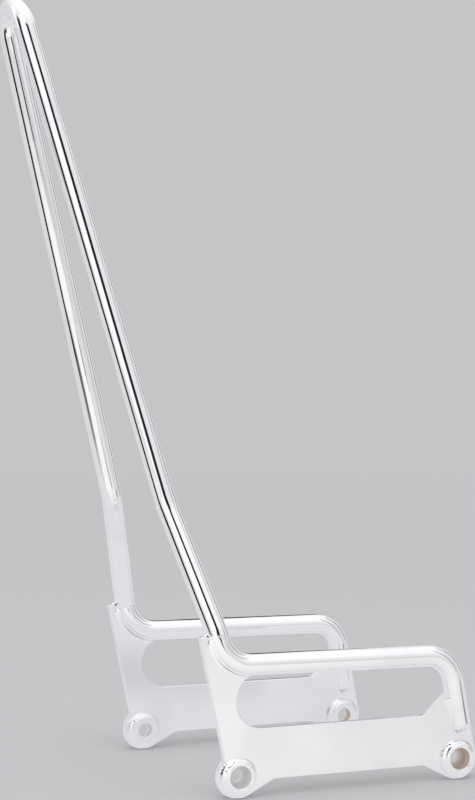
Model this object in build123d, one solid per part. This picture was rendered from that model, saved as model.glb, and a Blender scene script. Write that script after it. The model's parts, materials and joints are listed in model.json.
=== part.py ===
"""Chromed sissy bar for the back of a motorbike.

One round bar is bent into both stubs, rails and uprights and the narrow hairpin top.
A slotted side plate is welded under each rail, and two turned bosses stand through each plate.
The frame has +X forward, +Y to the bike's left and +Z up.
The origin lies midway between the two rear bolt holes, on their common axis.
"""

import os
from math import asin, atan2, cos, hypot, radians, sin, sqrt, tan

from build123d import *

# Driving dimensions of the bent bar, in millimetres and degrees
bar_diameter = 15.875
plate_spacing = 200.0
rail_height = 79.7
rail_fall = 0.8
stub_ahead = 8.1
stub_lean = 10.3
stub_end_height = 25.4
front_bend = 22.2
elbow_behind = 9.0
elbow_bend = 25.4
upright_rake = 15.0
flare_run = 4.6
flare_bend = 16.0
kink_height = 193.0
kink_spacing = 122.5
kink_bend = 57.0
top_height = 556.0
top_bend = 21.0

# Driving dimensions of the side plates
plate_thickness = 6.35
hole_spacing = 177.8
lobe_radius = 16.0
plate_slant = 12.0
rear_edge_behind = 7.8
tip_height = 101.5
tip_setback = 3.0
bottom_drop = 3.6
band_top = 33.5
flank_angle = 27.0
flank_blend = 10.0
waist_blend = 6.0
slot_rear = -1.4
slot_end_radius = 20.5
slot_corner_radius = 17.0
front_post = 15.6
gusset_height = 49.0
gusset_slope = 40.0
plate_edge_radius = 0.8

# Driving dimensions of the turned bosses
boss_diameter = 22.2
boss_proud = 5.1
boss_clearance = 0.05
boss_chamfer = 0.8
bolt_hole = 10.5
bolt_chamfer = 0.9
pocket_diameter = 15.9
pocket_depth = 9.7
pocket_chamfer = 0.7

# Driving dimensions of the weld beads
boss_bead = 3.5
bead_crown = 0.6
elbow_bead = 2.0
stub_bead = 2.2
stub_cap = 4.0
stub_cap_taper = 3.2
tip_bead = 3.2

# Values worked out from the driving dimensions
bar_radius = bar_diameter / 2
half_thickness = plate_thickness / 2
boss_radius = boss_diameter / 2
rake_run = tan(radians(upright_rake))
fall_run = tan(radians(rail_fall))
lean_run = tan(radians(stub_lean))
slant_run = tan(radians(plate_slant))
room = 4 * (hole_spacing + plate_spacing)
# Half the width that the bar's section has in the plane of a plate's face
face_chord = sqrt(bar_radius**2 - half_thickness**2)


def rail_z(x):
    """Height of the rail's centreline."""
    return rail_height - x * fall_run


def stub_x(z):
    """Fore-and-aft place of the stub's centreline."""
    return hole_spacing + stub_ahead - z * lean_run


def upright_x(z):
    """Fore-and-aft place of the upright's centreline, seen from the side."""
    return elbow.X - (z - elbow.Y) * rake_run


def crossing(point, direction, other, other_direction):
    """Where two lines of the side view cross."""
    gap = other - point
    turn = direction.X * other_direction.Y - direction.Y * other_direction.X
    along = (gap.X * other_direction.Y - gap.Y * other_direction.X) / turn
    return point + direction * along


# Side view of the bar, with X forward and Y up: the corners before they are bent
rail_way = Vector(-cos(radians(rail_fall)), sin(radians(rail_fall)))
upright_way = Vector(-sin(radians(upright_rake)), cos(radians(upright_rake)))
stub_way = Vector(sin(radians(stub_lean)), -cos(radians(stub_lean)))
elbow = Vector(-elbow_behind, rail_z(-elbow_behind))
stub_end = Vector(stub_x(stub_end_height), stub_end_height)
front_corner = crossing(elbow, rail_way, stub_end, stub_way)
elbow_turn = radians(90 - upright_rake - rail_fall)
elbow_tangent = elbow_bend * tan(elbow_turn / 2)


def place(point, side, half_spacing=plate_spacing / 2):
    """A point of the side view on one side of the bike: -1 right, +1 left."""
    return Vector(point.X, side * half_spacing, point.Y)


def bar_path():
    """Centreline of the whole bar, from the right stub's end to the left one's."""
    flare = elbow + upright_way * (elbow_tangent + flare_run)
    kink = Vector(upright_x(kink_height), kink_height)
    kink_half = kink_spacing / 2
    reach = (top_height - kink_height) / cos(radians(upright_rake)) - top_bend
    leg_angle = atan2(kink_half, reach) - asin(top_bend / hypot(reach, kink_half))
    summit = kink + upright_way * (kink_half / tan(leg_angle))

    def half(side):
        foot = [place(point, side) for point in (stub_end, front_corner, elbow, flare)]
        return foot + [place(kink, side, kink_half)]

    corners = half(-1) + [place(summit, 0)] + half(1)[::-1]
    bends = [front_bend, elbow_bend, flare_bend, kink_bend]
    return FilletPolyline(*corners, radius=bends + [top_bend] + bends[::-1])


def tube(path, radius):
    """A round section carried along a path."""
    return sweep(Plane(path @ 0, z_dir=path % 0) * Circle(radius), path=path)


def polygon(*points):
    """A filled outline in the side view."""
    return make_face(Polyline(*[(point.X, point.Y) for point in points], close=True))


def lobe_flank(centre_x, way):
    """The slope from the underside of a lobe to the plate's bottom edge."""
    angle = radians(flank_angle)
    touch = Vector(centre_x + way * lobe_radius * sin(angle), -lobe_radius * cos(angle))
    length = (-bottom_drop - touch.Y) / sin(angle)
    meet = touch + Vector(way * cos(angle), sin(angle)) * length
    return polygon(Vector(centre_x, 0), touch, meet), meet


def plate_outline():
    """Outer edge of a side plate, before the slot and the bar's seat are cut."""
    slant = radians(plate_slant)
    front_hole = Vector(hole_spacing, 0)
    front_touch = front_hole + Vector(cos(slant), sin(slant)) * lobe_radius
    tip = Vector(-rear_edge_behind - tip_height * slant_run, tip_height)
    body = polygon(
        Vector(-rear_edge_behind + bottom_drop * slant_run, -bottom_drop),
        Vector(hole_spacing, -bottom_drop),
        front_touch,
        front_touch + Vector(-slant_run, 1) * (tip_height - front_touch.Y),
        tip,
    )
    rear_flank, rear_meet = lobe_flank(0, 1)
    front_flank, front_meet = lobe_flank(hole_spacing, -1)
    lobes = [Pos(x, 0) * Circle(lobe_radius) for x in (0, hole_spacing)]
    outline = body + lobes + [rear_flank, front_flank]

    foot = rear_edge_behind * cos(slant)
    waist = Vector(-sin(slant), cos(slant)) * sqrt(lobe_radius**2 - foot**2)
    waist = waist - Vector(cos(slant), sin(slant)) * foot
    for corner, blend in ((waist, waist_blend), (rear_meet, flank_blend), (front_meet, flank_blend)):
        outline = fillet(outline.vertices().sort_by_distance(corner)[0], blend)
    return outline


def bar_side():
    """The part of the side view that lies below and behind the bar's centreline."""
    back = upright_way.rotate(Axis.Z, 90) * tip_setback
    setback_foot = crossing(elbow + back, upright_way, elbow, rail_way)
    setback_top = crossing(elbow + back, upright_way, Vector(0, tip_height), Vector(1, 0))
    low = -lobe_radius * 2
    far_front = stub_end + stub_way.rotate(Axis.Z, 90) * hole_spacing
    return polygon(
        Vector(-hole_spacing, low),
        Vector(far_front.X, low),
        far_front,
        stub_end,
        front_corner,
        setback_foot,
        setback_top,
        Vector(-hole_spacing, tip_height),
    )


def slot_outline():
    """The slot between the plate's band and the rail, open to the rail."""
    end_centre = Vector(slot_rear + slot_end_radius, band_top + slot_end_radius)
    front = hole_spacing - front_post
    rail_rear = Vector(end_centre.X, rail_z(end_centre.X))
    low_corner = Vector(front, band_top)
    middle = polygon(
        Vector(end_centre.X, band_top),
        low_corner,
        Vector(front, rail_z(front)),
        rail_rear,
    )
    middle = fillet(middle.vertices().sort_by_distance(low_corner)[0], slot_corner_radius)
    slope = Vector(cos(radians(gusset_slope)), sin(radians(gusset_slope)))
    stub_rear = stub_x(gusset_height) - bar_radius / cos(radians(stub_lean))
    gusset = Vector(stub_rear, gusset_height)
    inside = gusset - slope * ((gusset.X - front + slot_corner_radius / 2) / slope.X)
    seat = crossing(gusset, slope, stub_end, stub_way)
    above = polygon(inside, seat, front_corner, Vector(inside.X, rail_z(inside.X)))
    return (Pos(end_centre.X, end_centre.Y) * Circle(slot_end_radius)) + [middle, above]


def side_plate(side, bar):
    """One slotted plate, seated on the bar and bored for its two bosses."""
    face = (plate_outline() & bar_side()) - slot_outline()
    plate = extrude(Plane.XZ * face, amount=half_thickness, both=True)
    rims = plate.faces().filter_by(Axis.Y).edges()
    plate = fillet(rims, plate_edge_radius)
    plate = Pos(0, side * plate_spacing / 2, 0) * plate
    bore = Rot(90, 0, 0) * Cylinder(boss_radius + boss_clearance, 2 * plate_thickness)
    for x in (0, hole_spacing):
        plate = plate - Pos(x, side * plate_spacing / 2, 0) * bore
    return plate - bar


def boss(side, x):
    """A turned boss with a bolt hole, and a pocket for the bolt's head on the outer face."""
    outer = half_thickness + boss_proud
    floor = outer - pocket_depth
    hole, pocket = bolt_hole / 2, pocket_diameter / 2
    section = make_face(
        Polyline(
            (hole + bolt_chamfer, -outer),
            (boss_radius - boss_chamfer, -outer),
            (boss_radius, -outer + boss_chamfer),
            (boss_radius, outer - boss_chamfer),
            (boss_radius - boss_chamfer, outer),
            (pocket + pocket_chamfer, outer),
            (pocket, outer - pocket_chamfer),
            (pocket, floor),
            (hole, floor),
            (hole, -outer + bolt_chamfer),
            close=True,
        )
    )
    turned = revolve(section, Axis.Y)
    if side < 0:
        turned = mirror(turned, about=Plane.XZ)
    return Pos(x, side * plate_spacing / 2, 0) * turned


def boss_weld(side, x, face):
    """The fillet weld round a boss on one face of its plate: +1 outer, -1 inner."""
    toe = (boss_radius + boss_bead, 0)
    root = (boss_radius, boss_bead)
    crown = (boss_radius + boss_bead * bead_crown, boss_bead * bead_crown)
    section = make_face(Polyline(root, (boss_radius, 0), toe) + ThreePointArc(toe, crown, root))
    bead = revolve(section, Axis.Y)
    if side * face < 0:
        bead = mirror(bead, about=Plane.XZ)
    return Pos(x, side * (plate_spacing / 2 + face * half_thickness), 0) * bead


def face_place(point, side, face):
    """A point of the side view on one face of a plate: +1 outer, -1 inner."""
    return place(point, side, plate_spacing / 2 + face * half_thickness)


def slab(side):
    """All the space between the two faces of a plate."""
    return Pos(0, side * plate_spacing / 2, 0) * Box(room, plate_thickness, room)


def above_tip():
    """All the space above the plates' top tips."""
    low = (Align.CENTER, Align.CENTER, Align.MIN)
    return Pos(0, 0, tip_height) * Box(room, room, room, align=low)


def elbow_weld(side, face, bar):
    """The bead along the underside of the elbow, on one face of the plate."""
    down = rail_way.rotate(Axis.Z, 90)
    back = upright_way.rotate(Axis.Z, 90)
    centre = elbow - rail_way * elbow_tangent - down * elbow_bend
    reach = elbow_bend + face_chord
    ways = (down, (down + back).normalized(), back)
    start, middle, end = [face_place(centre + way * reach, side, face) for way in ways]
    top = face_place(centre + back * reach + upright_way * tip_height, side, face)
    bead = tube(ThreePointArc(start, middle, end) + Line(end, top), elbow_bead)
    return bead - above_tip() - slab(side) - bar


def stub_weld(side, face, bar):
    """The bead along the rear of the stub, on one face of the plate."""
    low = stub_end + stub_way.rotate(Axis.Z, -90) * face_chord
    rise = gusset_height - 2 * stub_bead - low.Y
    high = low - stub_way * (rise / cos(radians(stub_lean)))
    path = Line(face_place(low, side, face), face_place(high, side, face))
    return tube(path, stub_bead) - slab(side) - bar


def stub_end_weld(side, face):
    """The tapered run of weld that closes the stub's end, on one face of the plate."""
    way = Vector(stub_way.X, 0, stub_way.Y)
    low = (Align.CENTER, Align.CENTER, Align.MIN)
    cone = Cone(bar_radius, bar_radius - stub_cap_taper, stub_cap, align=low)
    halves = Plane(place(stub_end, side), z_dir=way) * cone - slab(side)
    return halves.solids().sort_by(Axis.Y)[0 if side * face < 0 else -1]


def tip_weld(side, bar):
    """The weld in the notch between the plate's top tip and the back of the upright."""
    behind = upright_way.rotate(Axis.Z, 90) * face_chord
    notch = crossing(elbow + behind, upright_way, Vector(0, tip_height), Vector(1, 0))
    bead = Pos(*place(notch, side)) * Rot(90, 0, 0) * Cylinder(tip_bead, plate_thickness)
    return (bead & above_tip()) - bar


def build():
    """Every piece by its node's name."""
    bar = tube(bar_path(), bar_radius)
    pieces = {"bar": bar}
    for side, side_name in ((-1, "right"), (1, "left")):
        pieces[f"plate_{side_name}"] = side_plate(side, bar)
        pieces[f"tip_weld_{side_name}"] = tip_weld(side, bar)
        for x, end_name in ((0, "rear"), (hole_spacing, "front")):
            pieces[f"boss_{end_name}_{side_name}"] = boss(side, x)
        for face, face_name in ((1, "outer"), (-1, "inner")):
            for x, end_name in ((0, "rear"), (hole_spacing, "front")):
                name = f"boss_weld_{end_name}_{face_name}_{side_name}"
                pieces[name] = boss_weld(side, x, face)
            pieces[f"elbow_weld_{face_name}_{side_name}"] = elbow_weld(side, face, bar)
            pieces[f"stub_weld_{face_name}_{side_name}"] = stub_weld(side, face, bar)
            pieces[f"stub_end_weld_{face_name}_{side_name}"] = stub_end_weld(side, face)
    return pieces


os.makedirs("parts", exist_ok=True)
for node, piece in build().items():
    piece.label = node
    export_step(piece, f"parts/{node}.step")
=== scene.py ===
"""Chrome dress and studio for a welded sissy bar.

The bent bar, the turned bosses and the weld beads are surfaces worked out on grids of points, and stand for
the plain solids of the frame. The side plates keep their solids and get their finish here.
The frame has +X forward, +Y to the bike's left and +Z up, in metres.
"""

import json

import bpy
import numpy as np
from bpy.props import FloatProperty, FloatVectorProperty, IntProperty, PointerProperty
from mathutils import Matrix, Vector


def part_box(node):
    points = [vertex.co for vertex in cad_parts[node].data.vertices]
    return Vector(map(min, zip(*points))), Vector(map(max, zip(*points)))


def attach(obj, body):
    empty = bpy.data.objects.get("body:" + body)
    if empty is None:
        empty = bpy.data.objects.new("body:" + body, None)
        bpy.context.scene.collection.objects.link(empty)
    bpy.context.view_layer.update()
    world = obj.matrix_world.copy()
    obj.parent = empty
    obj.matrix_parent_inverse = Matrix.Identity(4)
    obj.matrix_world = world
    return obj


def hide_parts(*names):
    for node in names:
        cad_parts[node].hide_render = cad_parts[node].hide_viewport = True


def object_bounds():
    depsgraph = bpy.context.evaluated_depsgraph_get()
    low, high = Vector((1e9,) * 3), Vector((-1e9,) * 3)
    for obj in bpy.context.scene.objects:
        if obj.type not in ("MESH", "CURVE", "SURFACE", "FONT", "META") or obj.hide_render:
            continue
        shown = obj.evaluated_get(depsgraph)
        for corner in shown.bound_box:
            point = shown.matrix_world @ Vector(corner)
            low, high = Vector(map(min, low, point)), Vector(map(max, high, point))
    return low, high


bl_info = {
    "name": "Sissy bar studio",
    "version": (1, 0, 0),
    "blender": (4, 5, 0),
    "location": "View3D > Sidebar > Sissy bar",
    "description": "Builds the chromed surfaces of a sissy bar and the studio it stands in",
    "category": "Object",
}

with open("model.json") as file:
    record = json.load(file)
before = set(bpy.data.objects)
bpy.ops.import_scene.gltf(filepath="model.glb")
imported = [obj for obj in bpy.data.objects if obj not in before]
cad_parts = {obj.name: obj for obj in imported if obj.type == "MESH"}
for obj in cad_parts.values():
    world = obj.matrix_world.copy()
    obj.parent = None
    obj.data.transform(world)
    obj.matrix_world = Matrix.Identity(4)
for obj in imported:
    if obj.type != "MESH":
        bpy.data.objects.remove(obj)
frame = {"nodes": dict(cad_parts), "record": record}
cad_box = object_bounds()

MOUNTS = {mount["name"]: mount for mount in frame["record"]["mounts"]}
PLATE_LOW, PLATE_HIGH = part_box("plate_right")
BOSS_LOW, BOSS_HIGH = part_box("boss_rear_right")
BEAD_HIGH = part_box("boss_weld_rear_outer_right")[1]

# Sizes that the frame already holds
HOLE_SPACING = MOUNTS["front_bolts"]["pos_m"][0]
PLATE_HALF_SPACING = -(PLATE_LOW.y + PLATE_HIGH.y) / 2
PLATE_HALF_THICKNESS = (PLATE_HIGH.y - PLATE_LOW.y) / 2
PLATE_TIP = PLATE_HIGH.z
FLOOR = cad_box[0].z
BOSS_RADIUS = BOSS_HIGH.x
BOSS_HALF_LENGTH = (BOSS_HIGH.y - BOSS_LOW.y) / 2
BOSS_WALL = BOSS_HALF_LENGTH - PLATE_HALF_THICKNESS
BOLT_RADIUS = MOUNTS["rear_bolts"]["dims"]["r_mm"] / 1000
POCKET_RADIUS = MOUNTS["rear_right_head_pocket"]["dims"]["r_mm"] / 1000
POCKET_WALL = MOUNTS["rear_right_head_pocket"]["dims"]["length_mm"] / 1000
BOSS_BEAD = BEAD_HIGH.x - BOSS_RADIUS

SIDES = (("right", -1), ("left", 1))
ENDS = (("rear", 0.0), ("front", HOLE_SPACING))
FACES = (("outer", 1), ("inner", -1))
# Each face of each plate: the end of its pieces' names, its Y and the way that it faces along Y
PLATE_FACES = [
    (f"{face_name}_{side_name}", side * (PLATE_HALF_SPACING + face * PLATE_HALF_THICKNESS), side * face)
    for side_name, side in SIDES
    for face_name, face in FACES
]

# Where the ring beads are pitted: degrees from straight ahead, towards up, and the share across the bead
PITS = {
    "rear_outer": ((111, 0.22), (139, 0.2), (158, 0.25)),
    "front_outer": ((119, 0.5), (128, 0.58), (137, 0.68), (146, 0.76), (155, 0.82)),
    "rear_inner": ((139, 0.2),),
    "front_inner": ((250, 0.4),),
}

# Where a ring bead is fuller and where it is leaner: the share of its leg, the angle and the spread
FULLER, FULLER_AT = 0.14, np.radians(165)
LEANER, LEANER_AT, LEANER_SPREAD = 0.24, np.radians(82), 0.6
# How much of the boss's wall a ring bead may climb, and where its hidden back starts, as shares
CLIMB_LIMIT = 0.84
BACK_START = 0.9
# Ripples of a ring bead: how far they bow and drift, their mean depth and how far it varies
RING_BOW, RING_DRIFT = 5.0, 0.8
RING_DEPTH, RING_VARY = 0.85, 0.35
# Ripples of a crease bead: how far they bow, and the distance between them
CREASE_BOW, CREASE_PITCH = 4.0, 0.0019
# How full a crease bead is, from hollow at 0 to flat at one half
CREASE_FULLNESS = 0.18
# Painted shade as grey lines along a crease bead: their strength and their share of the way up it, their
# width, and the rows of an elbow's bead that they lie about
SHADE_LINES = ((1.0, 0.45), (0.4, 0.85))
SHADE_LINE_WIDTH = 0.07
SHADE_ROW, SHADE_ROWS = 26, 16
# The mark where a stub's weld ends: its angle off the middle and its strength, then for its bar and its tail
# the width, and the middle and length as shares of the nose
MARK_ASIDE, MARK_STRENGTH = 0.85, 0.6
MARKS = ((0.32, 0.52, 0.1), (0.1, 0.78, 0.2))
# A tip bead: where its ends are cut, its half length and half height in bead radii, how far it stands out
# past the plate's faces, and how blunt its ends are
TIP_CUT = 0.49 * np.pi
TIP_LONG, TIP_TALL, TIP_PROUD, TIP_BLUNT = 1.3, 0.75, 0.0007, 0.6
# Its ripples: how fast their phase runs along it, where it starts, and their depth
TIP_RIPPLES, TIP_START, TIP_RIPPLE = 5.6, 0.4, 0.1
# Its pits: their width and depth, and how far and how fast they sway about the middle of the plate's faces
TIP_PIT_WIDTH, TIP_PIT_DEPTH = 0.12, 0.12
TIP_SWAY, TIP_SWAYS = 0.25, 3
# How near to the plates' faces their cut edges turn dull
EDGE_BAND = 0.0008
# Distance between the rings that the lathe left
LATHE_PITCH = 0.0009

TURN = 2 * np.pi
DIAGONAL = np.sqrt(0.5)
# How far a bead reaches into the metal that it joins
ROOT = 0.0004
# Length of the step that shuts the square top of a bead
CAP = 0.00001

# How finely each surface is divided: its rows and columns, or the turn and the length of its longest steps
BAR_AROUND, BAR_TURN, BAR_STEP = 72, np.radians(2), 0.004
BOSS_AROUND, BOSS_TURN, BOSS_STEP = 96, np.radians(15), 0.0003
RING_AROUND, RING_ACROSS = 456, 19
CREASE_ACROSS = 25
ELBOW_ROWS, UPRIGHT_ROWS, STUB_ROWS = 60, 24, 40
NOSE_ROWS, NOSE_ACROSS = 28, 65
BLOB_ROWS, BLOB_AROUND = 64, 56

# Stage: tones of the cards, lamps and cards by their angles in degrees, and sizes in metres
DARK, HALF_TONE, LINE_TONE = (0.025, 0.025, 0.03), (0.35, 0.35, 0.36), (0.45, 0.45, 0.47)
SOFT_BOXES = {
    "key": dict(azimuth=-47.0, height=14.0, distance=1.9, width=1.5, tall=2.2, bright=0.34),
    "fill": dict(azimuth=24.0, height=24.0, distance=2.1, width=1.7, tall=1.5, bright=0.11),
    "top": dict(azimuth=-20.0, height=84.0, distance=1.9, width=1.4, tall=1.4, bright=0.2),
    "wing": dict(azimuth=-107.0, height=24.0, distance=1.9, width=0.67, tall=1.35, bright=0.28),
}
CARDS = {
    "left_card": dict(azimuth=-84.5, distance=0.62, width=0.2, tall=0.8, foot=(0.0, 0.04)),
    "right_card": dict(azimuth=-10.5, distance=1.4, width=0.6, tall=1.25, foot=(0.03, 0.2), lean=-0.34),
    "low_card": dict(azimuth=-12.5, distance=0.75, width=0.13, tall=0.08, foot=(0.0, 0.005), shown=HALF_TONE),
    "tail_card": dict(azimuth=-3.5, distance=0.42, width=0.055, tall=0.095, foot=(0.03, 0.05)),
    "line_card": dict(azimuth=54.0, distance=1.4, width=0.14, tall=1.6, shown=LINE_TONE),
    "back_left_card": dict(azimuth=152.6, distance=1.4, width=0.27, tall=1.6),
    "back_right_card": dict(azimuth=100.0, distance=1.4, width=0.2, tall=1.6),
}
# Share of a card's height above which it fades out
CARD_TOP = 0.85
# Where the lamps aim, the ceiling's spread and tilt, and the height of the camera's sensor in millimetres
LAMP_AIM = Vector((0.02, 0.0, 0.25))
CEILING_SPREAD, CEILING_TILT = np.radians(70), np.radians((12, -10, 0))
SENSOR_HEIGHT = 24.0
# Half the widths of the floor and the bounce card, where the floor and the tent fade, and how far above the
# floor the card lies
FLOOR_HALF, FLOOR_FADE = 6.0, (2.2, 4.5)
TENT_FADE = 0.25, 0.97
BOUNCE_HALF, BOUNCE_LIFT = 2.5, 0.0004

# Marks on the bounce card: where each lies, and the two distances between which it fades
UNDER_FADE = 0.04, 0.2
POOL, POOL_FADE = (-0.35, -0.7, FLOOR), (0.35, 1.05)
SPOT, SPOT_FADE = (-0.61, -0.14, FLOOR), (0.08, 0.26)
STRIP, STRIP_FADE, STRIP_ENDS = 0.045, (0.065, 0.095), ((-0.44, -0.56), (-1.5, -1.3))
STREAK, STREAK_FADE, STREAK_ENDS = (0.7, -0.43), (0.035, 0.09), ((0.4, 0.48), (1.2, 1.0))
# The direction across the streak, and how much of the dark tone each mark shows
STREAK_ACROSS = 0.49, 0.87
SPOT_SHARE, STRIP_SHARE, STREAK_SHARE = 0.85, 0.85, 0.78


def length(name, description, default):
    """A property that holds a length in metres."""
    return FloatProperty(name=name, description=description, default=default, unit="LENGTH", precision=5)


def angle(name, description, degrees):
    """A property that holds an angle, given in degrees."""
    return FloatProperty(name=name, description=description, default=np.radians(degrees), subtype="ANGLE")


def share(name, description, default):
    """A property that holds a plain number."""
    return FloatProperty(name=name, description=description, default=default, precision=4)


def colour(name, description, default):
    """A property that holds a linear colour."""
    return FloatVectorProperty(name=name, description=description, default=default, size=3, subtype="COLOR")


class BarSizes(bpy.types.PropertyGroup):
    """Sizes of the bent bar."""

    diameter: length("Diameter", "Thickness of the round bar", 0.015875)
    rail_height: length("Rail height", "Rail's centreline above the rear bolt hole", 0.0797)
    rail_fall: angle("Rail fall", "Slope of the rail, down towards the front", 0.8)
    stub_ahead: length("Stub ahead", "Stub's centreline ahead of the front bolt hole", 0.0081)
    stub_lean: angle("Stub lean", "Lean of the front stub, back towards its top", 10.3)
    stub_end: length("Stub end", "Height of the stub's cut end", 0.0254)
    front_bend: length("Front bend", "Bend radius between the stub and the rail", 0.0222)
    elbow_behind: length("Elbow behind", "Elbow's corner behind the rear bolt hole", 0.009)
    elbow_bend: length("Elbow bend", "Bend radius between the rail and the upright", 0.0254)
    rake: angle("Rake", "Backward lean of the uprights", 15.0)
    flare_run: length("Flare run", "Straight run between the elbow and the flare", 0.0046)
    flare_bend: length("Flare bend", "Bend radius where the upright turns inwards", 0.016)
    kink_height: length("Kink height", "Height of the bend in the upright", 0.193)
    kink_spacing: length("Kink spacing", "Width between the uprights at that bend", 0.1225)
    kink_bend: length("Kink bend", "Radius of that bend", 0.057)
    top_height: length("Top height", "Centreline's height at the top of the hairpin", 0.556)
    top_bend: length("Top bend", "Bend radius of the hairpin", 0.021)


class BossSizes(bpy.types.PropertyGroup):
    """Sizes of the turned bosses that the frame's boxes don't give."""

    rim_chamfer: length("Rim chamfer", "Chamfer round the boss's two ends", 0.0008)
    bolt_chamfer: length("Bolt chamfer", "Chamfer at the inner end of the bolt hole", 0.0009)
    pocket_chamfer: length("Pocket chamfer", "Chamfer at the mouth of the head pocket", 0.0007)
    rear_tint: share("Rear tint", "How dull the plating is in the rear pockets", 0.15)
    front_tint: share("Front tint", "How dull the plating is in the front pockets", 0.9)
    edge: length("Edge rounding", "Radius left on every turned edge by polishing", 0.00025)


class WeldSizes(bpy.types.PropertyGroup):
    """Sizes of the weld beads."""

    boss_crown: share("Boss crown", "How far a ring bead bulges, as a share of its leg", 0.16)
    boss_climb: share("Boss climb", "Height of a boss bead as a share of its width", 1.3)
    boss_ripples: IntProperty(name="Boss ripples", description="Ripples round one boss", default=38)
    ripple: length("Ripple height", "Height of the ripples on a ring bead", 0.00007)
    pit_depth: length("Pit depth", "Depth of the pits in a ring bead", 0.00012)
    wander: share("Wander", "How much a bead's width varies", 0.05)
    crease_foot: length("Crease foot", "How far a crease bead spreads on the plate", 0.0032)
    crease_rise: length("Crease rise", "How far a crease bead climbs on the bar", 0.0028)
    crease_taper: length("Crease taper", "Length over which a crease bead dies out", 0.005)
    crease_ripple: length("Crease ripple", "Height of the ripples on a crease bead", 0.00004)
    stub_foot: length("Stub foot", "How far the bead behind a stub spreads on the plate", 0.0042)
    stub_rise: length("Stub rise", "How far the bead behind a stub climbs on the bar", 0.003)
    stub_taper: length("Stub taper", "Length over which the bead behind a stub dies out at its foot", 0.021)
    stub_nose: length("Stub nose", "Length of the weld that closes the stub's end", 0.0075)
    gusset_height: length("Gusset height", "Height of the top of the weld behind the stub", 0.0452)
    tip_bead: length("Tip bead", "Radius of the bead at the plate's top tip", 0.0032)


class ChromeLook(bpy.types.PropertyGroup):
    """Colours and polish of the chrome."""

    bright: colour("Bright", "Clean polished chrome", (0.93, 0.93, 0.94))
    haze: colour("Haze", "Chrome under a film of polish", (0.84, 0.84, 0.87))
    # Painted shade: the dark colour that the weld pits are given
    pit: colour("Pit", "Bare dark bottom of weld pits", (0.07, 0.07, 0.08))
    # Painted shade in the creases; the same colour also draws the dark mark where a stub's weld ends
    stain: colour("Stain", "Thin grey plating down in the creases", (0.2, 0.21, 0.26))
    pocket: colour("Pocket", "Thin dull plating inside the bolt pockets", (0.76, 0.67, 0.585))
    bar_roughness: share("Bar roughness", "Roughness of the polished bar", 0.07)
    plate_roughness: share("Plate roughness", "Roughness of the ground and plated sides", 0.16)
    edge_roughness: share("Edge roughness", "Roughness that the plates' cut edges gain", 0.22)
    boss_roughness: share("Boss roughness", "Roughness of the turned bosses", 0.1)
    weld_roughness: share("Weld roughness", "Roughness of the beads", 0.12)
    inner_roughness: share("Inner roughness", "Roughness that bosses and their beads gain inside", 0.22)


class StudioLook(bpy.types.PropertyGroup):
    """Floor, light and camera."""

    floor: colour("Floor", "Pale floor", (0.56, 0.56, 0.57))
    backdrop: colour("Backdrop", "Pale surround", (0.56, 0.56, 0.57))
    tent: colour("Tent", "White tent near the horizon", (0.74, 0.74, 0.76))
    tent_top: colour("Tent top", "White tent overhead", (1.1, 1.1, 1.1))
    bounce_under: colour("Bounce under", "White card between the plates", (0.79, 0.79, 0.825))
    bounce_pool: colour("Bounce pool", "White card beside the part, in the pool of light", (1.03, 1.014, 1.0))
    bounce_round: colour("Bounce round", "White card out of the pool of light", (0.76, 0.755, 0.76))
    bounce_dark: colour("Bounce dark", "Dark marks on the white card", (0.03, 0.03, 0.035))
    azimuth: angle("Azimuth", "Camera's turn round the part, from straight along +Y", -22.585)
    elevation: angle("Elevation", "Camera's height angle", 1.1)
    distance: length("Distance", "Camera's distance from the frame's origin plane", 1.528)
    aim_right: length("Aim right", "Camera's shift to its right", 0.038729)
    aim_up: length("Aim up", "Camera's shift upwards", 0.268)
    ceiling: share("Ceiling", "Light that falls on the floor beside that of the surround", 0.42)
    lens: FloatProperty(name="Lens", description="Focal length in millimetres", default=60.0, unit="CAMERA")


GROUPS = {
    "sissy_bar_sizes": BarSizes,
    "sissy_boss_sizes": BossSizes,
    "sissy_weld_sizes": WeldSizes,
    "sissy_chrome": ChromeLook,
    "sissy_studio": StudioLook,
}


# Shader sums


class Wire:
    """A shader socket. A sum written with it adds the Math nodes of that sum."""

    def __init__(self, shade, socket):
        self.shade = shade
        self.socket = socket

    def _sum(self, operation, first, second):
        return self.shade.node("ShaderNodeMath", {"operation": operation}, {0: first, 1: second}, "Value")

    def __add__(self, other):
        return self._sum("ADD", self, other)

    def __sub__(self, other):
        return self._sum("SUBTRACT", self, other)

    def __mul__(self, other):
        return self._sum("MULTIPLY", self, other)

    def __radd__(self, other):
        return self._sum("ADD", other, self)

    def __rsub__(self, other):
        return self._sum("SUBTRACT", other, self)

    def __rmul__(self, other):
        return self._sum("MULTIPLY", other, self)


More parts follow.
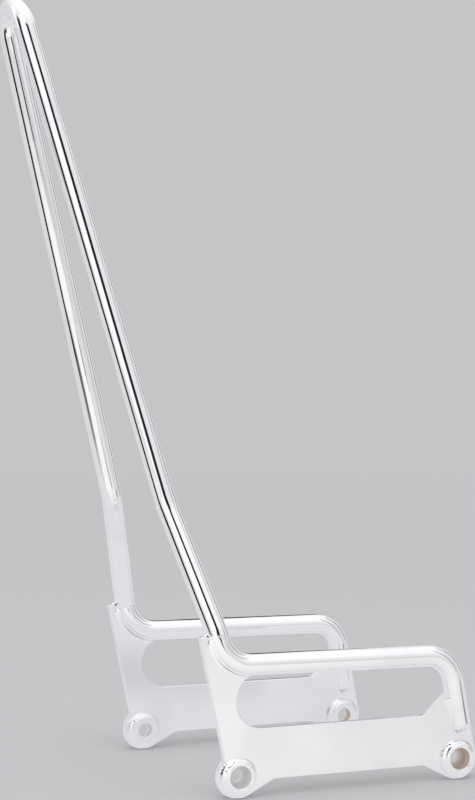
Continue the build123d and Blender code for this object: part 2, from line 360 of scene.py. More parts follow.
class Shade:
    """One node tree that is being written."""

    def __init__(self, tree):
        self.tree = tree
        tree.nodes.clear()

    def node(self, kind, settings=None, inputs=None, output=0):
        """Adds a node, sets it up, fills its sockets with values or wires and gives one output's wire."""
        made = self.tree.nodes.new(kind)
        for name, value in (settings or {}).items():
            setattr(made, name, value)
        for key, value in (inputs or {}).items():
            if isinstance(value, Wire):
                self.tree.links.new(value.socket, made.inputs[key])
            else:
                made.inputs[key].default_value = value
        return Wire(self, made.outputs[output]) if len(made.outputs) else None

    def place(self):
        """Object coordinates."""
        return self.node("ShaderNodeTexCoord", output="Object")

    def axis(self, place, name):
        """One coordinate of a place."""
        return self.node("ShaderNodeSeparateXYZ", None, {"Vector": place}, name)

    def attribute(self, name):
        """A number kept on the piece's points."""
        return self.node("ShaderNodeAttribute", {"attribute_name": name}, output="Fac")

    def noise(self, place, scale, detail=2.0):
        """Soft noise about one half, with lumps of about one over the scale in metres."""
        inputs = {"Vector": place, "Scale": scale, "Detail": detail}
        return self.node("ShaderNodeTexNoise", None, inputs, "Fac")

    def step(self, value, low, high):
        """A smooth rise from 0 at low to 1 at high."""
        ends = {"Value": value, "From Min": low, "From Max": high}
        return self.node("ShaderNodeMapRange", {"interpolation_type": "SMOOTHSTEP"}, ends, "Result")

    def absolute(self, value):
        """A number without its sign."""
        return self.node("ShaderNodeMath", {"operation": "ABSOLUTE"}, {0: value}, "Value")

    def apart(self, place, spot):
        """The distance from one spot."""
        return self.node("ShaderNodeVectorMath", {"operation": "DISTANCE"}, {0: place, 1: spot}, "Value")

    def mix(self, factor, first, second):
        """A colour between two."""
        settings = {"data_type": "RGBA"}
        colours = {0: factor, 6: rgba(first), 7: rgba(second)}
        return self.node("ShaderNodeMix", settings, colours, 2)

    def bump(self, height, strength, distance):
        """A normal that follows a height in metres."""
        inputs = {"Height": height, "Strength": strength, "Distance": distance}
        return self.node("ShaderNodeBump", None, inputs, "Normal")

    def surface(self, shader, kind="Material"):
        """Sends a shader to the tree's output."""
        self.node(f"ShaderNodeOutput{kind}", None, {"Surface": shader})


def rgba(value):
    """A colour socket's value: wires pass, and bare colours get their alpha."""
    return value if isinstance(value, Wire) else (*value, 1.0)


def material(name):
    """A new material and the tree to write it in."""
    made = bpy.data.materials.new(name)
    made.use_nodes = True
    return made, Shade(made.node_tree)


def metal(shade, base, roughness, normal):
    """A metal's surface: its colour, roughness and normal vary, and the rest is fixed."""
    inputs = {"Base Color": rgba(base), "Metallic": 1.0, "Roughness": roughness, "Normal": normal}
    shade.surface(shade.node("ShaderNodeBsdfPrincipled", None, inputs, "BSDF"))


# Chrome finishes


def bar_chrome(shade, place, look):
    """Mirror chrome on round bar: a film of polish in long smears, and slow waves left by the wheel."""
    smear = shade.step(shade.noise(place, 26.0, 4.0), 0.5, 0.72)
    speck = shade.step(shade.noise(place, 900.0, 2.0), 0.66, 0.78)
    base = shade.mix(0.5 * smear + 0.2 * speck, look.bright, look.haze)
    roughness = look.bar_roughness + 0.03 * smear + 0.04 * speck
    metal(shade, base, roughness, shade.bump(shade.noise(place, 45.0, 1.0), 0.12, 0.001))


def plate_chrome(shade, place, look):
    """Chrome over ground plate: fine grinding lines, slow waves, a soft haze and duller cut edges."""
    stretch = shade.node("ShaderNodeMapping", None, {"Vector": place, "Scale": (40.0, 1.0, 2200.0)}, "Vector")
    grain = shade.noise(stretch, 1.0, 3.0)
    waves = shade.noise(place, 22.0, 1.0)
    cloud = shade.step(shade.noise(place, 14.0, 3.0), 0.4, 0.68)
    base = shade.mix(0.6 * cloud + 0.15 * grain, look.bright, look.haze)
    off = shade.absolute(shade.absolute(shade.axis(place, "Y")) - PLATE_HALF_SPACING)
    edge = 1.0 - shade.step(off, PLATE_HALF_THICKNESS - EDGE_BAND, PLATE_HALF_THICKNESS)
    roughness = look.plate_roughness + 0.05 * cloud + 0.04 * grain + look.edge_roughness * edge
    height = 0.5 * waves + 0.012 * grain
    metal(shade, base, roughness, shade.bump(height, 0.25, 0.001))


def boss_chrome(shade, place, look):
    """Chrome over turned steel: rings left by the lathe, and a thin dull plating down in the pocket."""
    depth = shade.attribute("depth")
    ring = shade.attribute("ring")
    cloud = shade.noise(place, 160.0, 3.0)
    base = shade.mix(0.4 * cloud, look.bright, look.haze)
    base = shade.mix(depth * (0.55 + 0.4 * cloud), base, look.pocket)
    roughness = look.boss_roughness + 0.35 * shade.attribute("pocket") + 0.06 * cloud
    roughness = roughness + look.inner_roughness * shade.attribute("inner")
    metal(shade, base, roughness, shade.bump(ring, 0.1, 0.0004))


def weld_chrome(shade, place, look):
    """Chrome over weld: bright on the ripples, with painted shade in the pits and in grey lines along the
    creases.
    """
    pit = shade.attribute("pit")
    fine = shade.noise(place, 1500.0, 2.0)
    # Painted shade: the pits are darkened towards the pit colour
    dark = shade.step(pit * (0.6 + 0.8 * fine), 0.3, 0.65)
    # Painted shade: grey lines along the creases; the same attribute holds the dark mark where a stub's weld
    # ends
    stain = shade.attribute("stain") * (0.5 + shade.noise(place, 90.0))
    base = shade.mix(0.4 * shade.noise(place, 120.0), look.bright, look.haze)
    base = shade.mix(0.85 * stain, base, look.stain)
    base = shade.mix(dark, base, look.pit)
    roughness = look.weld_roughness + 0.3 * dark + 0.06 * fine
    roughness = roughness + look.inner_roughness * shade.attribute("inner")
    metal(shade, base, roughness, shade.bump(fine, 0.12, 0.0003))


FINISHES = {kind.__name__: kind for kind in (bar_chrome, plate_chrome, boss_chrome, weld_chrome)}


def finish(slot):
    """The material of one of the record's slots, made on first use."""
    name = slot + ".finish"
    made = bpy.data.materials.get(name)
    if made is None:
        made, shade = material(name)
        FINISHES[slot](shade, shade.place(), bpy.context.scene.sissy_chrome)
    return made


# Curves and surfaces


def unit(vectors):
    """Vectors divided by their lengths."""
    return vectors / np.linalg.norm(vectors, axis=-1, keepdims=True)


def arc(corner, before, after, radius, step):
    """Points and directions on the arc that rounds one corner.

    The arc's centre lies radius / cos(turn / 2) from the corner, on the line that halves it, and a point at
    the angle s from the arc's middle is centre + radius (sin s along - cos s inward).
    """
    turn = np.arccos(np.clip(before @ after, -1, 1))
    inward = unit(after - before)
    along = unit(after + before)
    count = max(3, int(np.ceil(turn / step)) + 1)
    s = np.linspace(-turn / 2, turn / 2, count)[:, None]
    centre = corner + inward * radius / np.cos(turn / 2)
    points = centre + radius * (np.sin(s) * along - np.cos(s) * inward)
    return np.hstack([points, np.cos(s) * along + np.sin(s) * inward])


def divided(path, longest):
    """A path of points and directions with its long runs cut into equal steps, none above the longest."""
    steps = np.diff(path, axis=0)
    size = steps.shape[1] // 2
    counts = np.maximum(np.ceil(np.linalg.norm(steps[:, :size], axis=1) / longest), 1).astype(int)
    run = np.repeat(np.arange(len(counts)), counts)
    first = np.repeat(np.cumsum(counts) - counts, counts)
    part = (np.arange(counts.sum()) - first) / np.repeat(counts, counts)
    return np.vstack([path[run] + steps[run] * part[:, None], path[-1:]])


def bent(corners, radii, step, longest):
    """Centreline through corners, each rounded by its own arc, with straight runs between the arcs."""
    corners = np.asarray(corners, float)
    ways = unit(np.diff(corners, axis=0))
    bends = zip(corners[1:-1], ways[:-1], ways[1:], radii)
    arcs = [arc(corner, before, after, radius, step) for corner, before, after, radius in bends]
    ends = [np.hstack([corners[:1], ways[:1]]), np.hstack([corners[-1:], ways[-1:]])]
    return divided(np.vstack([ends[0], *arcs, ends[1]]), longest)


def loop(corners, radii, step, longest):
    """Closed outline through corners, each rounded by its own arc."""
    corners = np.asarray(corners, float)
    after = unit(np.roll(corners, -1, axis=0) - corners)
    before = np.roll(after, 1, axis=0)
    arcs = [arc(*corner, step) for corner in zip(corners, before, after, radii)]
    return divided(np.vstack([*arcs, arcs[0][:1]]), longest)[:-1]


def wander(around, seed, waves=6):
    """Slow noise round a ring: the sum over k of sin(k around + phase) / k, with seeded phases."""
    phases = np.random.default_rng(seed).uniform(0, TURN, waves)
    k = np.arange(1, waves + 1)
    return (np.sin(np.multiply.outer(around, k) + phases) / k).sum(-1)


def dome(*offsets):
    """A round bump of height 1: exp(-d^2), where d^2 is the sum of the squares of the offsets."""
    return np.exp(-sum(offset**2 for offset in offsets))


def pits(t, around, spots, seed):
    """Small pits in a ring bead, where the weld was started: a sum of round dips about the given spots.

    A spot is an angle in degrees and a share across the bead. A dip's offsets are the distances from its
    middle over its size, round the bead and across it.
    """
    draw = np.random.default_rng(seed + 200)
    angles, across = np.array(spots).T
    angles = np.radians(angles) + draw.normal(0, 0.03, len(spots))
    wide = draw.uniform(0.03, 0.055, len(spots))
    tall = draw.uniform(0.08, 0.13, len(spots))
    turn = (around[None, :, None] - angles + np.pi) % TURN - np.pi
    return dome(turn / wide, (t[..., None] - across) / tall).sum(-1)


def smooth(value, low, high):
    """A smooth rise from 0 at low to 1 at high: 3 t^2 - 2 t^3."""
    t = np.clip((value - low) / (high - low), 0, 1)
    return t * t * (3 - 2 * t)


def put(name, data):
    """A new object in the scene."""
    made = bpy.data.objects.new(name, data)
    bpy.context.scene.collection.objects.link(made)
    return made


def skin(name, grid, closed_rows, slot, replaced, values=None):
    """A mesh over a grid of points, closed round its columns, whose rows close up or end in a fan.

    Faces join each point to the next in its row and in its column. They are turned outwards by the sign of
    the volume that they close, which is the sum of a . (b x c) / 6 over their triangles.
    """
    rows, columns = grid.shape[:2]
    points = grid.reshape(-1, 3)
    index = np.arange(rows * columns).reshape(rows, columns)
    lower = index if closed_rows else index[:-1]
    upper = np.roll(index, -1, axis=0) if closed_rows else index[1:]
    quads = np.stack([lower, np.roll(lower, -1, 1), np.roll(upper, -1, 1), upper], -1).reshape(-1, 4)
    fans = np.zeros((0, 3), int)
    if not closed_rows:
        points = np.vstack([points, grid[0].mean(0), grid[-1].mean(0)])
        hub, end = rows * columns, rows * columns + 1
        first, last = index[0], index[-1]
        start_fan = np.stack([np.roll(first, -1), first, np.full(columns, hub)], -1)
        end_fan = np.stack([last, np.roll(last, -1), np.full(columns, end)], -1)
        fans = np.vstack([start_fan, end_fan])
    triangles = np.vstack([quads[:, [0, 1, 2]], quads[:, [0, 2, 3]], fans])
    a, b, c = (points[triangles[:, i]] for i in range(3))
    if np.einsum("ij,ij->i", a, np.cross(b, c)).sum() < 0:
        quads, fans = quads[:, ::-1], fans[:, ::-1]

    mesh = bpy.data.meshes.new(name)
    mesh.from_pydata(points.tolist(), [], quads.tolist() + fans.tolist())
    mesh.polygons.foreach_set("use_smooth", np.ones(len(mesh.polygons), bool))
    if not closed_rows:
        edges = np.zeros(2 * len(mesh.edges), np.int32)
        mesh.edges.foreach_get("vertices", edges)
        rim = np.isin(edges.reshape(-1, 2), index[[0, -1]]).all(1)
        mesh.attributes.new("sharp_edge", "BOOLEAN", "EDGE").data.foreach_set("value", rim)
    for key, value in (values or {}).items():
        kept = np.zeros(len(points), np.float32)
        kept[: rows * columns] = np.broadcast_to(value, (rows, columns)).ravel()
        mesh.attributes.new(key, "FLOAT", "POINT").data.foreach_set("value", kept)
    mesh.materials.append(finish(slot))
    mesh.update()
    piece = put(name, mesh)
    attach(piece, "root")
    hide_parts(replaced)


# The bar's lines, seen from the side


def heading(radians):
    """A direction in the side view, turned up from straight ahead."""
    return np.array([np.cos(radians), np.sin(radians)])


def quarter(way):
    """A side-view direction turned a quarter turn, from ahead towards up."""
    return np.array([-way[1], way[0]])


def crossing(point, way, other, other_way):
    """Where two lines of the side view cross."""
    return point + way * np.cross(other - point, other_way) / np.cross(way, other_way)


class SideView:
    """The bar's straight lines seen from the side, as X and Z, before they are bent."""

    def __init__(self, sizes):
        self.radius = sizes.diameter / 2
        self.chord = np.sqrt(self.radius**2 - PLATE_HALF_THICKNESS**2)
        self.rail_way = heading(np.pi - sizes.rail_fall)
        self.upright_way = heading(np.pi / 2 + sizes.rake)
        self.stub_way = heading(sizes.stub_lean - np.pi / 2)
        self.elbow = self.rail(-sizes.elbow_behind, sizes)
        stub_x = HOLE_SPACING + sizes.stub_ahead - sizes.stub_end * np.tan(sizes.stub_lean)
        self.stub_end = np.array([stub_x, sizes.stub_end])
        self.front = crossing(self.elbow, self.rail_way, self.stub_end, self.stub_way)
        self.elbow_tangent = sizes.elbow_bend * np.tan((np.pi / 2 - sizes.rake - sizes.rail_fall) / 2)
        self.elbow_centre = self.elbow - self.rail_way * self.elbow_tangent
        self.elbow_centre = self.elbow_centre - quarter(self.rail_way) * sizes.elbow_bend

    def rail(self, x, sizes):
        """A point on the rail's centreline."""
        return np.array([x, sizes.rail_height - x * np.tan(sizes.rail_fall)])

    def upright(self, z):
        """A point on the upright's centreline."""
        return self.elbow + self.upright_way * (z - self.elbow[1]) / self.upright_way[1]


def placed(points, y):
    """Points of the side view at a distance Y from the part's middle."""
    points = np.asarray(points, float)
    return np.insert(points, 1, y, axis=-1)


class BendBar(bpy.types.Operator):
    """Bend the round bar: a circle carried along the stubs, rails, uprights and hairpin"""

    bl_idname = "sissy_bar.bend_bar"
    bl_label = "Bend the bar"

    def execute(self, context):
        sizes = context.scene.sissy_bar_sizes
        view = SideView(sizes)
        flare = view.elbow + view.upright_way * (view.elbow_tangent + sizes.flare_run)
        kink = view.upright(sizes.kink_height)
        half = sizes.kink_spacing / 2
        reach = (sizes.top_height - sizes.kink_height) / np.cos(sizes.rake) - sizes.top_bend
        leg = np.arctan2(half, reach) - np.arcsin(sizes.top_bend / np.hypot(reach, half))
        summit = placed(kink + view.upright_way * half / np.tan(leg), 0)
        foot = placed([view.stub_end, view.front, view.elbow, flare], -PLATE_HALF_SPACING)
        right = np.vstack([foot, placed(kink, -half)])
        corners = np.vstack([right, summit, (right * (1, -1, 1))[::-1]])
        bends = [sizes.front_bend, sizes.elbow_bend, sizes.flare_bend, sizes.kink_bend]
        path = bent(corners, bends + [sizes.top_bend] + bends[::-1], BAR_TURN, BAR_STEP)

        centre, tangent = path[:, None, :3], path[:, None, 3:]
        across = unit(np.cross(tangent, placed(-quarter(view.upright_way), 0)))
        upward = np.cross(across, tangent)
        around = np.linspace(0, TURN, BAR_AROUND, endpoint=False)[None, :, None]
        grid = centre + view.radius * (np.cos(around) * across + np.sin(around) * upward)
        skin("bent_bar", grid, False, "bar_chrome", "bar")
        return {"FINISHED"}


class TurnBosses(bpy.types.Operator):
    """Turn the bosses: a rounded section carried round each bolt's axis"""

    bl_idname = "sissy_bar.turn_bosses"
    bl_label = "Turn the bosses"

    def execute(self, context):
        sizes = context.scene.sissy_boss_sizes
        section, groove, depth = self.section(sizes)
        radius, out = section[:, :1], section[:, 1:]
        around = np.linspace(0, TURN, BOSS_AROUND, endpoint=False)
        for side_name, side in SIDES:
            for end_name, x in ENDS:
                y = side * (PLATE_HALF_SPACING + out) + 0 * around
                grid = np.stack([x + radius * np.cos(around), y, radius * np.sin(around)], -1)
                name = f"boss_{end_name}_{side_name}"
                tint = sizes.rear_tint if end_name == "rear" else sizes.front_tint
                values = {"ring": groove, "pocket": depth, "depth": tint * depth, "inner": out < 0}
                skin(f"turned_{name}", grid, True, "boss_chrome", name, values)
        return {"FINISHED"}

    @staticmethod
    def section(sizes):
        """The boss's section as radius and outward distance, with lathe rings and the depth in the pocket."""
        rim, bolt, mouth = sizes.rim_chamfer, sizes.bolt_chamfer, sizes.pocket_chamfer
        end = BOSS_HALF_LENGTH
        floor = end - mouth - POCKET_WALL
        corners = [
            (BOLT_RADIUS + bolt, -end),
            (BOSS_RADIUS - rim, -end),
            (BOSS_RADIUS, rim - end),
            (BOSS_RADIUS, end - rim),
            (BOSS_RADIUS - rim, end),
            (POCKET_RADIUS + mouth, end),
            (POCKET_RADIUS, end - mouth),
            (POCKET_RADIUS, floor),
            (BOLT_RADIUS, floor),
            (BOLT_RADIUS, bolt - end),
        ]
        outline = loop(corners, [sizes.edge] * len(corners), BOSS_TURN, BOSS_STEP)
        radius, out = outline[:, :1], outline[:, 1:2]
        groove = 0.5 + 0.5 * np.sin((radius + out) * TURN / LATHE_PITCH)
        inside = smooth(POCKET_RADIUS + mouth / 2 - radius, -mouth / 2, mouth / 2)
        depth = inside * smooth(out, -end, rim - end)
        return outline[:, :2], groove, depth


class WeldBosses(bpy.types.Operator):
    """Weld the bosses: a rippled bead carried round each end of each boss"""

    bl_idname = "sissy_bar.weld_bosses"
    bl_label = "Weld the bosses"

    def execute(self, context):
        sizes = context.scene.sissy_weld_sizes
        around = np.linspace(0, TURN, RING_AROUND, endpoint=False)
        seed = 0
        for face, y, way in PLATE_FACES:
            for end_name, x in ENDS:
                seed += 1
                spots = PITS[end_name + "_" + face.split("_")[0]]
                radius, rise, pit = self.bead(sizes, around, spots, seed)
                grid = np.stack([x + radius * np.cos(around), y + way * rise, radius * np.sin(around)], -1)
                name = f"boss_weld_{end_name}_{face}"
                values = {"pit": pit, "inner": float(face.startswith("inner"))}
                skin(f"rippled_{name}", grid, True, "weld_chrome", name, values)
        return {"FINISHED"}

    @staticmethod
    def bead(sizes, around, spots, seed):
        """A ring bead's radius and height over the plate, and where it is pitted.

        Across the bead, t runs from the boss to the plate. The bead bulges by sin(pi t), and its ripples are
        sin(n around + bow t (1 - t)), which bows each ripple into a crescent.
        """
        t = np.linspace(0, 1, RING_ACROSS)[:, None]
        lean = FULLER * np.cos(around - FULLER_AT) - LEANER * dome((around - LEANER_AT) / LEANER_SPREAD)
        leg = BOSS_BEAD * (1 + lean + sizes.wander * wander(around, seed))
        hump = np.sin(np.pi * t)
        phase = sizes.boss_ripples * around + RING_BOW * t * (1 - t) + RING_DRIFT * wander(around, seed + 50)
        crest = 0.5 + 0.5 * np.sin(phase)
        rough = RING_DEPTH + RING_VARY * wander(around, seed + 100)
        pit = pits(t, around, spots, seed)
        swell = sizes.boss_crown * leg * hump - sizes.ripple * rough * (1 - crest) * np.sqrt(hump)
        swell = swell - sizes.pit_depth * pit
        radius = BOSS_RADIUS + leg * t + swell * DIAGONAL
        tall = np.minimum(sizes.boss_climb * leg, CLIMB_LIMIT * BOSS_WALL)
        rise = tall * (1 - t) + swell * DIAGONAL
        sunk = -ROOT + 0 * around
        radius = np.vstack([radius, BOSS_RADIUS + BACK_START * leg, BOSS_RADIUS + sunk, BOSS_RADIUS + sunk])
        rise = np.vstack([rise, sunk, sunk, BACK_START * tall])
        return radius, rise, np.vstack([pit, np.zeros((3, len(around)))])


def crease_bead(sizes, view, line, away, way, widest, highest, taper):
    """A hollow fillet carried along the crease between the bar and one face of a plate, and its grey lines of
    painted shade.

    Line is the crease, away the direction across the plate's face from the bar, and way the face's sign
    along Y. Widest is the fillet's reach on the plate, and highest is its climb on the bar.
    The fillet is the curve (1 - t)^2 foot + 2 t (1 - t) bend + t^2 head, from its foot on the plate to its
    head on the bar, and it dies out over a taper at its start and another at its end.
    """
    run = np.concatenate([[0], np.cumsum(np.linalg.norm(np.diff(line, axis=0), axis=1))])
    size = smooth(run, 0, taper[0]) * smooth(run[-1] - run, 0, taper[1])
    foot, rise = (widest * size)[:, None], (highest * size)[:, None]
    t = np.linspace(0, 1, CREASE_ACROSS)
    bend = 2 * t * (1 - t) * CREASE_FULLNESS
    head = np.sqrt(view.radius**2 - (rise + PLATE_HALF_THICKNESS) ** 2) - view.chord
    phase = run[:, None] * TURN / CREASE_PITCH + CREASE_BOW * t * (1 - t)
    ripple = sizes.crease_ripple * np.sin(phase) * np.sin(np.pi * t)
    across = (1 - t) ** 2 * foot + bend * foot + t**2 * head + ripple
    height = bend * rise + t**2 * rise + ripple
    sunk = -ROOT + 0 * rise
    across = np.hstack([across, head - ROOT, sunk, foot])[..., None]
    height = np.hstack([height, rise - ROOT / 2, sunk, sunk])[..., None]
    # Grey lines of painted shade along the crease
    lines = sum(strength * dome((t - middle) / SHADE_LINE_WIDTH) for strength, middle in SHADE_LINES)
    stain = np.hstack([lines * size[:, None] ** 2, np.zeros((len(run), 3))])
    return line[:, None] + across * away[:, None] + height * np.array([0, way, 0]), stain


class WeldElbows(bpy.types.Operator):
    """Weld the elbows: a hollow fillet along the crease between each elbow and the faces of its plate"""

    bl_idname = "sissy_bar.weld_elbows"
    bl_label = "Weld the elbows"

    def execute(self, context):
        sizes = context.scene.sissy_weld_sizes
        view = SideView(context.scene.sissy_bar_sizes)
        radius = context.scene.sissy_bar_sizes.elbow_bend + view.chord
        down, back = quarter(view.rail_way), quarter(view.upright_way)
        start, end = np.arctan2(down[1], down[0]), np.arctan2(back[1], back[0])
        swing = np.linspace(start, end - TURN if end > start else end, ELBOW_ROWS)
        ways = np.stack([np.cos(swing), np.sin(swing)], -1)
        turn = view.elbow_centre + radius * ways
        climb = np.linspace(0, (PLATE_TIP - turn[-1][1]) / view.upright_way[1], UPRIGHT_ROWS)[1:, None]
        flat = np.vstack([turn, turn[-1] + climb * view.upright_way])
        away = placed(np.vstack([ways, np.repeat(back[None], len(climb), 0)]), 0)
        reach = sizes.crease_foot, sizes.crease_rise, (sizes.crease_taper, sizes.crease_taper)
        # The painted shade is strongest about these rows of the elbow's bend
        bottom = dome((np.arange(len(flat)) - SHADE_ROW) / SHADE_ROWS)[:, None]
        for face, y, way in PLATE_FACES:
            grid, stain = crease_bead(sizes, view, placed(flat, y), away, way, *reach)
            name = f"elbow_weld_{face}"
            skin(f"smooth_{name}", grid, False, "weld_chrome", name, {"stain": stain * bottom})
        return {"FINISHED"}


class WeldStubs(bpy.types.Operator):
    """Weld the stubs: a hollow fillet up the rear of each stub, and a rounded nose over its cut end"""

    bl_idname = "sissy_bar.weld_stubs"
    bl_label = "Weld the stubs"

    def execute(self, context):
        sizes = context.scene.sissy_weld_sizes
        view = SideView(context.scene.sissy_bar_sizes)
        rear = -quarter(view.stub_way)
        low = view.stub_end + rear * view.chord
        top = (sizes.gusset_height - low[1]) / -view.stub_way[1]
        climb = np.append(np.linspace(0, top, STUB_ROWS), [top + CAP, top + 2 * CAP])[:, None]
        flat = low - climb * view.stub_way
        away = np.repeat(placed(rear, 0)[None], len(flat), 0)
        reach = sizes.stub_foot, sizes.stub_rise, (sizes.stub_taper, CAP)
        for face, y, way in PLATE_FACES:
            grid, _ = crease_bead(sizes, view, placed(flat, y), away, way, *reach)
            name = f"stub_weld_{face}"
            skin(f"smooth_{name}", grid, False, "weld_chrome", name)
            name = f"stub_end_weld_{face}"
            grid, stain = self.nose(sizes, view, placed(view.stub_end, y), way)
            skin(f"smooth_{name}", grid, False, "weld_chrome", name, {"stain": stain})
        return {"FINISHED"}

    @staticmethod
    def nose(sizes, view, centre, way):
        """The stub's round side, dying into the plate's face below the cut, and the mark where the weld ends.

        At the share u of its length the section's height over the face is that of the bar times (1 - u^2)^2,
        and its width is that of the bar times 1 - u^2 / 4. The mark is a short bar across and a tail down,
        each of the form exp(-d^2).
        """
        u = np.linspace(0, 1, NOSE_ROWS)[:, None]
        widest = np.arccos(PLATE_HALF_THICKNESS / view.radius)
        v = np.linspace(-widest, widest, NOSE_ACROSS)
        height = (view.radius * np.cos(v) - PLATE_HALF_THICKNESS) * (1 - u**2) ** 2
        width = view.radius * np.sin(v) * (1 - u**2 / 4)
        shut = np.zeros_like(u) - ROOT
        height = np.hstack([height, shut, shut])[..., None]
        width = np.hstack([width, width[:, -1:], width[:, :1]])[..., None]
        side_way, down_way = placed(quarter(view.stub_way), 0), placed(view.stub_way, 0)
        grid = centre + width * side_way + height * np.array([0, way, 0])
        grid = grid + (u * sizes.stub_nose)[..., None] * down_way
        off = v + MARK_ASIDE
        mark = sum(dome(off / wide, (u - middle) / tall) for wide, middle, tall in MARKS)
        return grid, np.hstack([MARK_STRENGTH * mark, 0 * shut, 0 * shut])


class WeldTips(bpy.types.Operator):
    """Weld the tips: a small rippled bead in the notch above the tip of each plate"""

    bl_idname = "sissy_bar.weld_tips"
    bl_label = "Weld the tips"

    def execute(self, context):
        sizes = context.scene.sissy_weld_sizes
        view = SideView(context.scene.sissy_bar_sizes)
        behind = view.elbow + quarter(view.upright_way) * view.chord
        level = np.array([0, PLATE_TIP]), np.array([1.0, 0])
        notch = crossing(behind, view.upright_way, *level)
        for side_name, side in SIDES:
            name = f"tip_weld_{side_name}"
            grid, pit = self.blob(sizes, placed(notch, side * PLATE_HALF_SPACING))
            skin(f"rippled_{name}", grid, False, "weld_chrome", name, {"pit": pit})
        return {"FINISHED"}

    @staticmethod
    def blob(sizes, centre):
        """A bead that lies along the plate's tip: an ellipsoid whose radius ripples along its length.

        Its pits are round dips exp(-d^2) in the valleys, on both faces of the plate.
        """
        b = np.linspace(-TIP_CUT, TIP_CUT, BLOB_ROWS)[:, None]
        a = np.linspace(0, TURN, BLOB_AROUND, endpoint=False)[None, :]
        crest = 0.5 + 0.5 * np.sin(TIP_RIPPLES * b + TIP_START)
        faced = np.abs(np.cos(a - TIP_SWAY * np.sin(TIP_SWAYS * b)))
        pit = (1 - crest) ** 3 * dome((1 - faced) / TIP_PIT_WIDTH) * np.cos(b)
        swell = np.cos(b) ** TIP_BLUNT * (1 - TIP_RIPPLE * (1 - crest) - TIP_PIT_DEPTH * pit)
        along = TIP_LONG * sizes.tip_bead * np.sin(b) + 0 * a
        across = (PLATE_HALF_THICKNESS + TIP_PROUD) * swell * np.cos(a)
        rise = TIP_TALL * sizes.tip_bead * swell * np.sin(a)
        return centre + np.stack([along, across, rise], -1), pit


class ChromePlates(bpy.types.Operator):
    """Give the two side plates their chrome"""

    bl_idname = "sissy_bar.chrome_plates"
    bl_label = "Chrome the plates"

    def execute(self, context):
        for side_name, _ in SIDES:
            plate = frame["nodes"][f"plate_{side_name}"]
            for holder in plate.material_slots:
                holder.material = finish("plate_chrome")
        return {"FINISHED"}


# Studio


def sheet(name, corners, made):
    """A flat piece of the stage."""
    mesh = bpy.data.meshes.new(name)
    mesh.from_pydata([tuple(corner) for corner in corners], [], [range(len(corners))])
    mesh.materials.append(made)
    piece = put(name, mesh)
    return piece


def level_square(name, half, height, made):
    """A level square about the origin."""
    return sheet(name, [(x * half, y * half, height) for x, y in ((-1, -1), (1, -1), (1, 1), (-1, 1))], made)


def bearing(azimuth, height):
    """A direction by two angles in radians: its turn from -Y towards +X, and its height."""
    flat = np.cos(height)
    return Vector((np.sin(azimuth) * flat, -np.cos(azimuth) * flat, np.sin(height)))


def soft_box(name, azimuth, height, distance, width, tall, bright):
    """A lamp with a flat face of its own brightness, turned to the part from two angles in degrees."""
    lamp = bpy.data.lights.new(name, "AREA")
    lamp.shape = "RECTANGLE"
    lamp.size, lamp.size_y = width, tall
    lamp.energy = bright * np.pi * width * tall
    box = put(name, lamp)
    back = bearing(np.radians(azimuth), np.radians(height))
    box.location = LAMP_AIM + back * distance
    box.rotation_euler = back.to_track_quat("Z", "Y").to_euler()
    box.visible_camera = False


def matt_card(name, shown, tall, foot):
    """Matt card of one colour, which fades in between two heights at its foot, and out at its top."""
    made, shade = material(name)
    matt = shade.node("ShaderNodeBsdfDiffuse", None, {"Color": rgba(shown)})
    clear = shade.node("ShaderNodeBsdfTransparent")
    height = shade.axis(shade.place(), "Z") - FLOOR
    there = shade.step(height, *foot) * shade.step(height, tall, CARD_TOP * tall)
    shade.surface(shade.node("ShaderNodeMixShader", None, {0: there, 1: clear, 2: matt}))
    return made


def unseen(card):
    """Shows a card in the chrome's reflections only."""
    card.visible_camera = False
    card.visible_diffuse = False
    card.visible_shadow = False


def upright_card(name, azimuth, distance, width, tall, foot=(0.0, 0.2), shown=DARK, lean=0.0):
    """A card that stands on the floor and faces the part. Its top third may lean to one side."""
    a = np.radians(azimuth)
    low = np.array([np.sin(a) * distance, -np.cos(a) * distance, FLOOR])
    side = np.array([np.cos(a), np.sin(a), 0])
    half, up = side * width / 2, np.array([0, 0, tall])
    knee, top = low + up * 2 / 3, low + up + side * lean
    corners = [low - half, low + half, knee + half, top + half, top - half, knee - half]
    unseen(sheet(name, corners, matt_card(name, shown, tall, foot)))


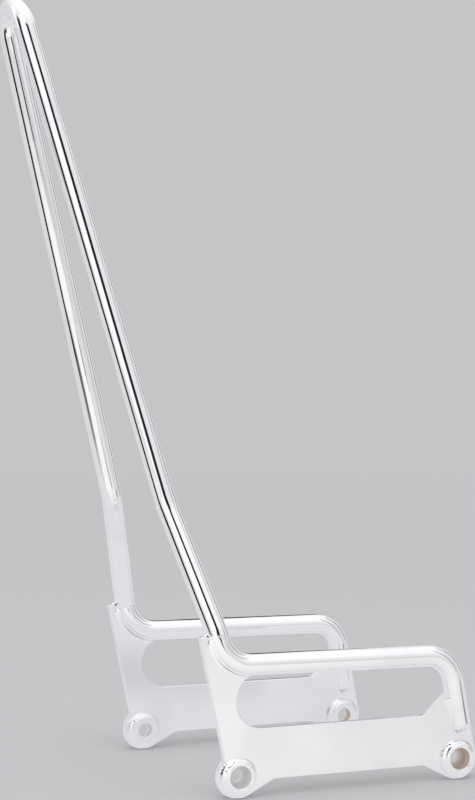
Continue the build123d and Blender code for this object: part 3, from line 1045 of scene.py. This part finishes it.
class SetStage(bpy.types.Operator):
    """Set the stage: a pale floor, soft light, dark cards that draw lines in the chrome, and the camera"""

    bl_idname = "sissy_bar.set_stage"
    bl_label = "Set the stage"

    def execute(self, context):
        look = context.scene.sissy_studio
        context.scene.view_settings.view_transform = "Standard"
        self.floor(look)
        self.world(context.scene, look)
        self.lamps(look)
        self.cards(look)
        self.camera(context.scene, look)
        return {"FINISHED"}

    @staticmethod
    def floor(look):
        """A wide floor that fades into the surround, so that no horizon shows."""
        made, shade = material("pale_floor")
        matt = shade.node("ShaderNodeBsdfDiffuse", None, {"Color": rgba(look.floor)})
        clear = shade.node("ShaderNodeBsdfTransparent")
        gone = shade.step(shade.apart(shade.place(), (0.0, 0.0, 0.0)), *FLOOR_FADE)
        shade.surface(shade.node("ShaderNodeMixShader", None, {0: gone, 1: matt, 2: clear}))
        level_square("floor", FLOOR_HALF, FLOOR, made)

    @staticmethod
    def world(scene, look):
        """An even pale surround, and for the chrome a soft white tent that is brighter overhead."""
        world = bpy.data.worlds.new("surround")
        scene.world = world
        world.use_nodes = True
        shade = Shade(world.node_tree)
        way = shade.node("ShaderNodeTexCoord", output="Generated")
        light = shade.mix(shade.step(shade.axis(way, "Z"), *TENT_FADE), look.tent, look.tent_top)
        glow = shade.node("ShaderNodeBackground", None, {"Color": light, "Strength": 1.0})
        pale = shade.node("ShaderNodeBackground", None, {"Color": rgba(look.backdrop), "Strength": 1.0})
        mirrored = shade.node("ShaderNodeLightPath", output="Is Glossy Ray")
        shade.surface(shade.node("ShaderNodeMixShader", None, {0: mirrored, 1: pale, 2: glow}), "World")

    @staticmethod
    def lamps(look):
        """Soft boxes round the part and over it, and a ceiling that lights the floor."""
        for name, box in SOFT_BOXES.items():
            soft_box(name, **box)
        sun = bpy.data.lights.new("ceiling", "SUN")
        sun.angle = CEILING_SPREAD
        sun.energy = look.ceiling * np.pi
        ceiling = put("ceiling", sun)
        ceiling.rotation_euler = CEILING_TILT
        ceiling.visible_glossy = False

    @staticmethod
    def cards(look):
        """Cards that only the chrome sees: dark ones that draw its lines, and a white one under the part."""
        for name, card in CARDS.items():
            upright_card(name, **card)

        made, shade = material("bounce_card")
        place = shade.place()
        ahead, along = shade.axis(place, "X"), shade.axis(place, "Y")
        away = shade.step(shade.apart(place, POOL), *POOL_FADE)
        pool = shade.mix(away, look.bounce_pool, look.bounce_round)
        shown = shade.mix(shade.step(shade.absolute(along), *UNDER_FADE), look.bounce_under, pool)
        spot = 1.0 - shade.step(shade.apart(place, SPOT), *SPOT_FADE)
        strip = 1.0 - shade.step(shade.absolute(ahead - STRIP), *STRIP_FADE)
        strip = strip * shade.step(along, *STRIP_ENDS[0]) * shade.step(along, *STRIP_ENDS[1])
        across = STREAK_ACROSS[0] * (ahead - STREAK[0]) + STREAK_ACROSS[1] * (along - STREAK[1])
        streak = 1.0 - shade.step(shade.absolute(across), *STREAK_FADE)
        streak = streak * shade.step(ahead, *STREAK_ENDS[0]) * shade.step(ahead, *STREAK_ENDS[1])
        for share_dark, mark in ((SPOT_SHARE, spot), (STRIP_SHARE, strip), (STREAK_SHARE, streak)):
            shown = shade.mix(share_dark * mark, shown, look.bounce_dark)
        shade.surface(shade.node("ShaderNodeEmission", None, {"Color": shown, "Strength": 1.0}))
        unseen(level_square("bounce", BOUNCE_HALF, FLOOR + BOUNCE_LIFT, made))

    @staticmethod
    def camera(scene, look):
        """The camera, placed by its angles, its distance and its shifts across the view."""
        back = bearing(look.azimuth, look.elevation)
        right = Vector((np.cos(look.azimuth), np.sin(look.azimuth), 0))
        up = back.cross(right)
        lens = bpy.data.cameras.new("camera")
        lens.sensor_fit = "VERTICAL"
        lens.sensor_height = SENSOR_HEIGHT
        lens.lens = look.lens
        camera = put("camera", lens)
        turn = Matrix((right, up, back)).transposed().to_4x4()
        spot = right * look.aim_right + up * look.aim_up + back * look.distance
        camera.matrix_world = Matrix.Translation(spot) @ turn
        scene.camera = camera


OPERATORS = (BendBar, TurnBosses, WeldBosses, WeldElbows, WeldStubs, WeldTips, ChromePlates, SetStage)


class SissyBarPanel(bpy.types.Panel):
    """Lists the steps that build the sissy bar"""

    bl_idname = "VIEW3D_PT_sissy_bar"
    bl_label = "Sissy bar"
    bl_space_type = "VIEW_3D"
    bl_region_type = "UI"
    bl_category = "Sissy bar"

    def draw(self, context):
        for group, kind in GROUPS.items():
            for name in kind.__annotations__:
                self.layout.prop(getattr(context.scene, group), name)
        for operator in OPERATORS:
            self.layout.operator(operator.bl_idname)


CLASSES = (*GROUPS.values(), *OPERATORS, SissyBarPanel)


def register():
    """Registers the classes and hangs their settings on the scene."""
    for kind in CLASSES:
        bpy.utils.register_class(kind)
    for name, group in GROUPS.items():
        setattr(bpy.types.Scene, name, PointerProperty(type=group))


def unregister():
    """Takes off what register added."""
    for name in GROUPS:
        delattr(bpy.types.Scene, name)
    for kind in reversed(CLASSES):
        bpy.utils.unregister_class(kind)


def main():
    """Builds every piece and the stage."""
    register()
    for operator in OPERATORS:
        group, name = operator.bl_idname.split(".")
        getattr(getattr(bpy.ops, group), name)()


if __name__ == "__main__":
    main()
